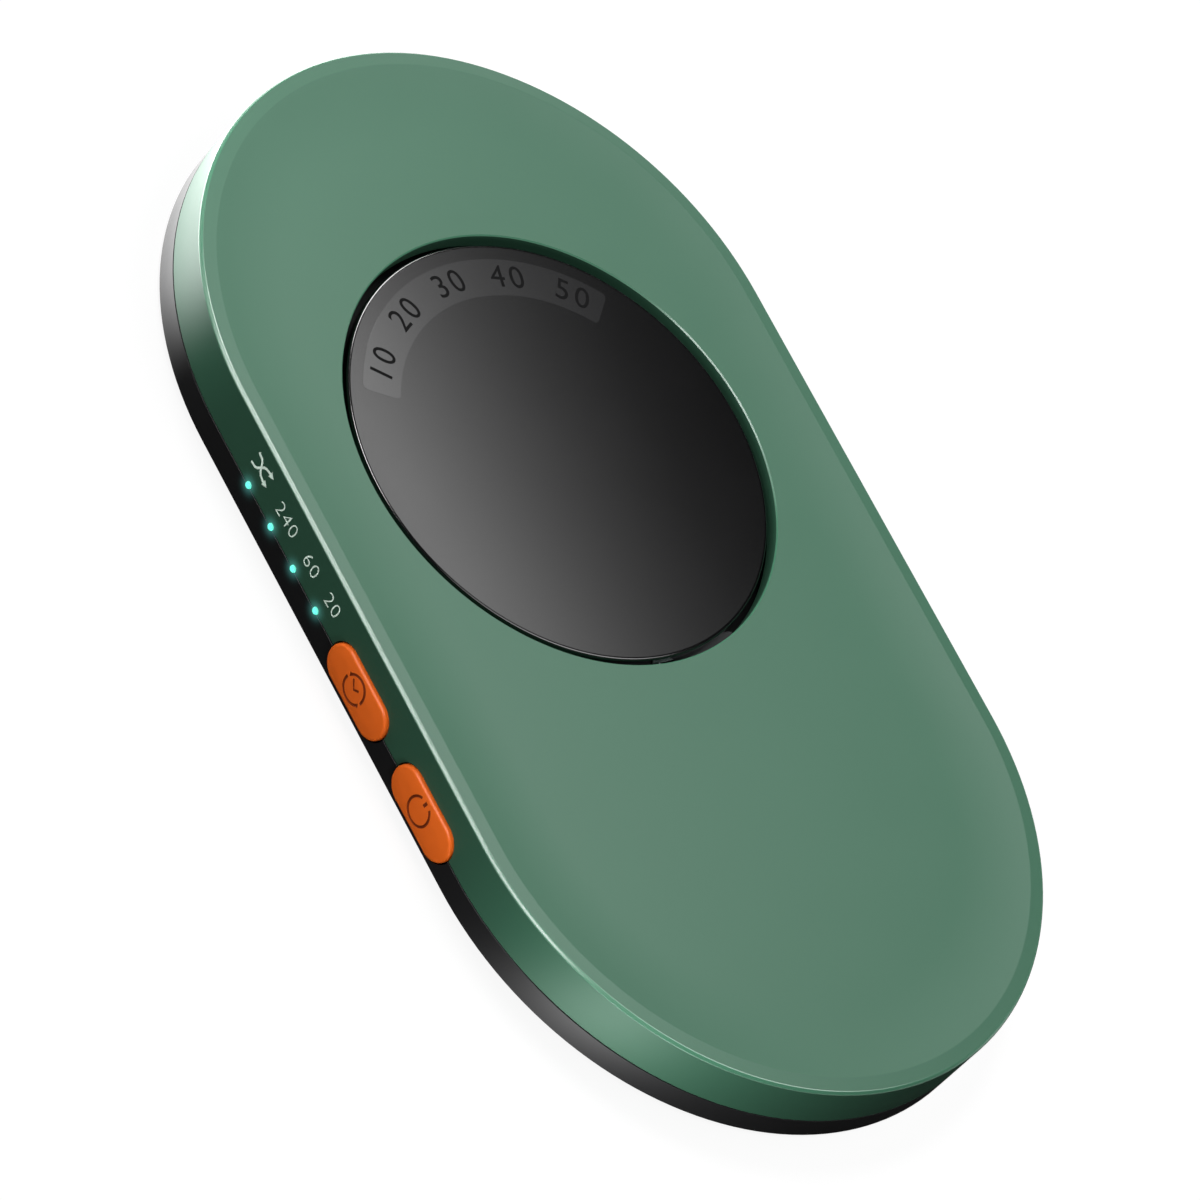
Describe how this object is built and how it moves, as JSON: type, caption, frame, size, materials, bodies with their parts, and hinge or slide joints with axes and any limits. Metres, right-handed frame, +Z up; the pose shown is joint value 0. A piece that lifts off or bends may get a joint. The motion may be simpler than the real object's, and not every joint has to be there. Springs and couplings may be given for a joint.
{
  "type": "mouse jiggler",
  "caption": "Slim pill-shaped desk pad with a motor-driven turntable under a computer mouse, two side buttons and lamps.",
  "frame": {"origin": "middle of the case in plan, on the surface that the rubber feet rest on", "axes": "+Z up out of the deck; +Y along the case from the palm end to the turntable end; -X is the wall with the two buttons and the four lamps"},
  "size_m": [0.0806, 0.139, 0.0104],
  "materials": {
    "shell_green": "satin, fine grain",
    "base_black": "satin",
    "table_black": "gloss",
    "button_orange": "satin",
    "guide_clear": "clear, lit",
    "lamp_white": "lit lamp",
    "foot_rubber": "matt",
    "gear_acetal": "natural acetal",
    "carrier_black": "moulded",
    "bush_brass": "turned",
    "pin_steel": "ground",
    "screw_steel": "zinc",
    "can_steel": "drawn",
    "coil_copper": "enamelled wire",
    "magnet_ferrite": "sintered",
    "board_green": "solder mask",
    "chip_black": "moulded",
    "capacitor_can": "drawn",
    "socket_white": "moulded",
    "switch_black": "moulded",
    "inlet_steel": "plated",
    "lead_red_black": "insulated",
    "tape_white": "adhesive film"
  },
  "bodies": {
    "case": {"top_shell": "shell_green", "base_tray": "base_black", "spindle": "pin_steel", "thrust_washer": "pin_steel", "spindle_clip": "pin_steel", "idler_pin": "pin_steel", "idler_clip": "pin_steel", "motor_can": "can_steel", "motor_plate": "can_steel", "motor_bearings": "bush_brass", "motor_coil": "coil_copper", "motor_screws": "screw_steel", "motor_leads": "lead_red_black", "motor_socket": "socket_white", "interval_switch": "switch_black", "power_switch": "switch_black", "light_guide": "guide_clear", "mode_lamp_1": "lamp_white", "mode_lamp_2": "lamp_white", "mode_lamp_3": "lamp_white", "mode_lamp_4": "lamp_white", "main_board": "board_green", "controller_chip": "chip_black", "supply_capacitor": "capacitor_can", "board_lead_socket": "socket_white", "board_screws": "screw_steel", "usb_board": "board_green", "usb_lead_socket": "socket_white", "usb_shell": "inlet_steel", "usb_tongue": "switch_black", "power_leads": "lead_red_black", "case_screws": "screw_steel", "rubber_foot_1": "foot_rubber", "rubber_foot_2": "foot_rubber", "rubber_foot_3": "foot_rubber", "rubber_foot_4": "foot_rubber"},
    "turntable": {"turntable_plate": "table_black", "plate_tape": "tape_white", "turntable_carrier": "carrier_black", "ring_gear": "gear_acetal", "turntable_bush": "bush_brass", "hub_screws": "screw_steel"},
    "idler": {"idler_gear": "gear_acetal"},
    "motor_rotor": {"motor_magnet": "magnet_ferrite", "motor_shaft": "pin_steel", "motor_pinion": "bush_brass"},
    "interval_key": {"interval_button": "button_orange", "interval_switch_plunger": "socket_white"},
    "power_key": {"power_button": "button_orange", "power_switch_plunger": "socket_white"}
  },
  "joints": [
    {"name": "turntable_spin", "type": "hinge", "parent": "case", "child": "turntable", "pos_m": [0, 0.0153, 0.0062], "axis": [0, 0, 1], "continuous": true},
    {"name": "idler_spin", "type": "hinge", "parent": "case", "child": "idler", "pos_m": [0, -0.0122, 0.0055], "axis": [0, 0, 1], "continuous": true},
    {"name": "motor_spin", "type": "hinge", "parent": "case", "child": "motor_rotor", "pos_m": [0, -0.0282, 0.0045], "axis": [0, 0, 1], "continuous": true},
    {"name": "interval_key_press", "type": "slide", "parent": "case", "child": "interval_key", "axis": [1, 0, 0], "range_m": [0, 0.0005], "stiffness_N_per_m": 1500, "springref_m": -0.0002},
    {"name": "power_key_press", "type": "slide", "parent": "case", "child": "power_key", "axis": [1, 0, 0], "range_m": [0, 0.0005], "stiffness_N_per_m": 1500, "springref_m": -0.0002}
  ],
  "couplings": [
    {"joint": "idler_spin", "follows": "turntable_spin", "ratio": -6.8571},
    {"joint": "motor_spin", "follows": "turntable_spin", "ratio": 20.571}
  ]
}
